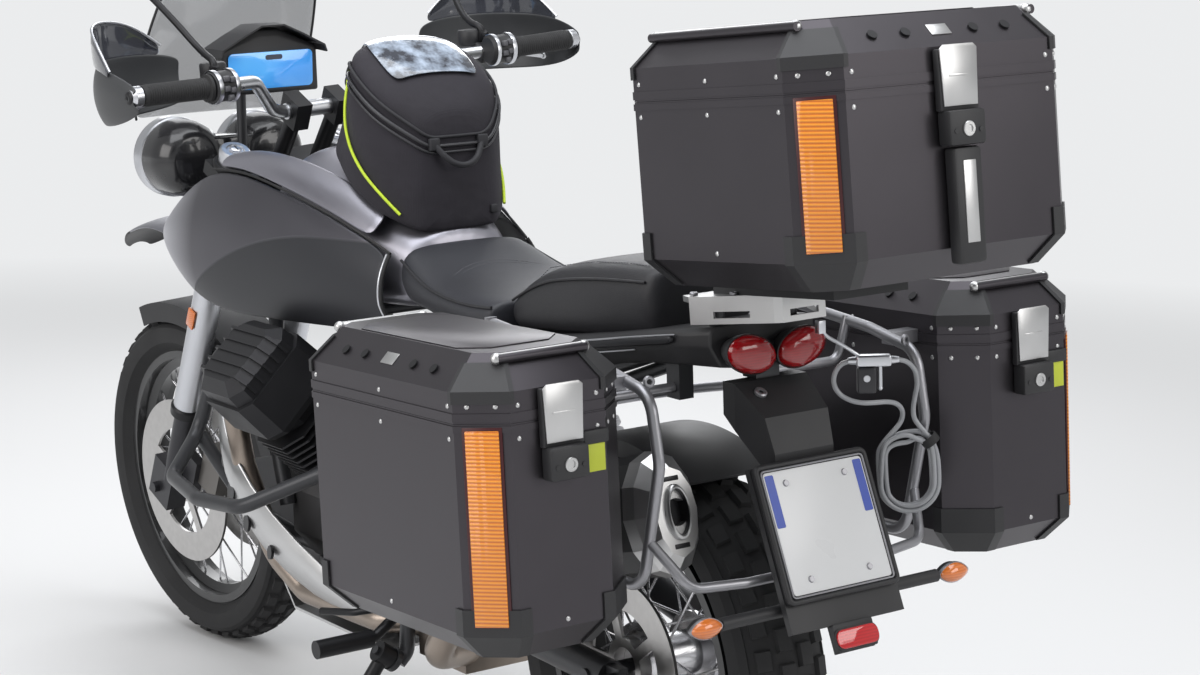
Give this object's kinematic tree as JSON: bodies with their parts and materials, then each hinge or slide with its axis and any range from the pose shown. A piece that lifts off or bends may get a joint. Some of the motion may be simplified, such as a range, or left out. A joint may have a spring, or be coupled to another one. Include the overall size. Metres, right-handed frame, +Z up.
{
  "type": "adventure motorcycle",
  "caption": "Adventure motorcycle with a transverse V-twin, shaft drive, wire wheels, aluminium top and side cases, tank bag and crash bars, parked on its side stand.",
  "frame": {"origin": "on the ground under the middle of the bounding box", "axes": "+X forward along the wheelbase, +Y to the rider's left, +Z up"},
  "size_m": [2.5274, 1.0597, 1.4185],
  "materials": {
    "bag_fabric": "woven",
    "bar_silver": "satin",
    "bare_aluminium": "brushed",
    "black_metal": "satin",
    "black_plastic": "grained",
    "cable_grey": "satin",
    "caliper": "satin",
    "case_aluminium": "anodised",
    "disc": "ground",
    "engine_dark": "cast",
    "engine_grey": "cast",
    "exhaust": "tempered",
    "fork_dark": "satin",
    "fork_silver": "satin",
    "frame_grey": "satin",
    "lamp": "gloss",
    "orange_lens": "clear",
    "rack_silver": "satin",
    "red_lens": "clear",
    "rim": "satin",
    "rubber": "matt",
    "screen": "tinted",
    "seat": "grained",
    "spokes": "polished",
    "spring": "gloss",
    "tank_grey": "matt",
    "tank_silver": "satin",
    "tyre": "matt"
  },
  "bodies": {
    "chassis": {"beak": "tank_silver", "frame": "frame_grey", "engine_block": "engine_grey", "cylinder_left": "engine_dark", "cylinder_right": "engine_dark", "skid_plate": "bare_aluminium", "crash_bars": "frame_grey", "exhaust_pipes": "exhaust", "silencer": "black_metal", "silencer_cap": "bare_aluminium", "swingarm": "frame_grey", "rear_caliper": "caliper", "final_drive": "engine_grey", "rear_shock": "spring", "rear_mudguard": "black_plastic", "fuel_tank": "tank_grey", "tank_sides": "tank_silver", "tank_bag": "bag_fabric", "rider_seat": "seat", "passenger_seat": "seat", "tail_fairing": "tank_grey", "tail_lights": "red_lens", "plate_holder": "black_plastic", "rear_signals": "orange_lens", "rack_plate": "bare_aluminium", "top_case_body": "case_aluminium", "left_case_body": "case_aluminium", "right_case_body": "case_aluminium", "case_latches": "black_plastic", "case_reflectors": "orange_lens", "top_case_mount": "black_plastic", "pannier_racks": "rack_silver", "cable_coil": "cable_grey", "cable_lock": "bare_aluminium", "security_cable": "cable_grey", "footpegs": "black_metal", "headlamps": "lamp", "dash": "black_plastic", "windscreen": "screen"},
    "steering": {"fork_outers": "fork_silver", "fork_lowers": "fork_dark", "front_calipers": "caliper", "fork_yokes": "black_metal", "handlebar": "bar_silver", "hand_controls": "rubber", "hand_guards": "black_plastic", "mirrors": "black_plastic", "front_mudguard": "black_plastic"},
    "front_wheel": {"front_tyre": "tyre", "front_rim": "rim", "front_hub": "spokes", "front_discs": "disc"},
    "rear_wheel": {"rear_tyre": "tyre", "rear_rim": "rim", "rear_hub": "spokes", "rear_disc": "disc"},
    "side_stand": {"side_stand": "black_metal"},
    "top_case_lid": {"top_case_lid": "case_aluminium"},
    "left_case_lid": {"left_case_lid": "case_aluminium"},
    "right_case_lid": {"right_case_lid": "case_aluminium"}
  },
  "joints": [
    {"name": "steering", "type": "hinge", "parent": "chassis", "child": "steering", "pos_m": [0.62067, 0.00952, 0.82912], "axis": [-0.4695, 0.0539, 0.8813], "range_deg": [-40, 30]},
    {"name": "front_wheel_spin", "type": "hinge", "parent": "steering", "child": "front_wheel", "pos_m": [0.93411, -0.01749, 0.32828], "axis": [-0.077, 0.9918, -0.1017], "continuous": true},
    {"name": "rear_wheel_spin", "type": "hinge", "parent": "chassis", "child": "rear_wheel", "pos_m": [-0.59575, -0.02158, 0.32059], "axis": [0, 0.9981, -0.061], "continuous": true},
    {"name": "side_stand_fold", "type": "hinge", "parent": "chassis", "child": "side_stand", "pos_m": [0.00425, 0.12136, 0.20064], "axis": [0, 0.8434, 0.5373], "range_deg": [0, 84]},
    {"name": "top_case_lid_hinge", "type": "hinge", "parent": "chassis", "child": "top_case_lid", "pos_m": [-0.81719, 0.03009, 1.16531], "axis": [0, 0.9981, -0.061], "range_deg": [0, 75]},
    {"name": "left_case_lid_hinge", "type": "hinge", "parent": "chassis", "child": "left_case_lid", "pos_m": [-0.45968, 0.40428, 0.75579], "axis": [0, 0.9981, -0.061], "range_deg": [0, 75]},
    {"name": "right_case_lid_hinge", "type": "hinge", "parent": "chassis", "child": "right_case_lid", "pos_m": [-0.45968, -0.39123, 0.80445], "axis": [0, 0.9981, -0.061], "range_deg": [0, 75]}
  ]
}
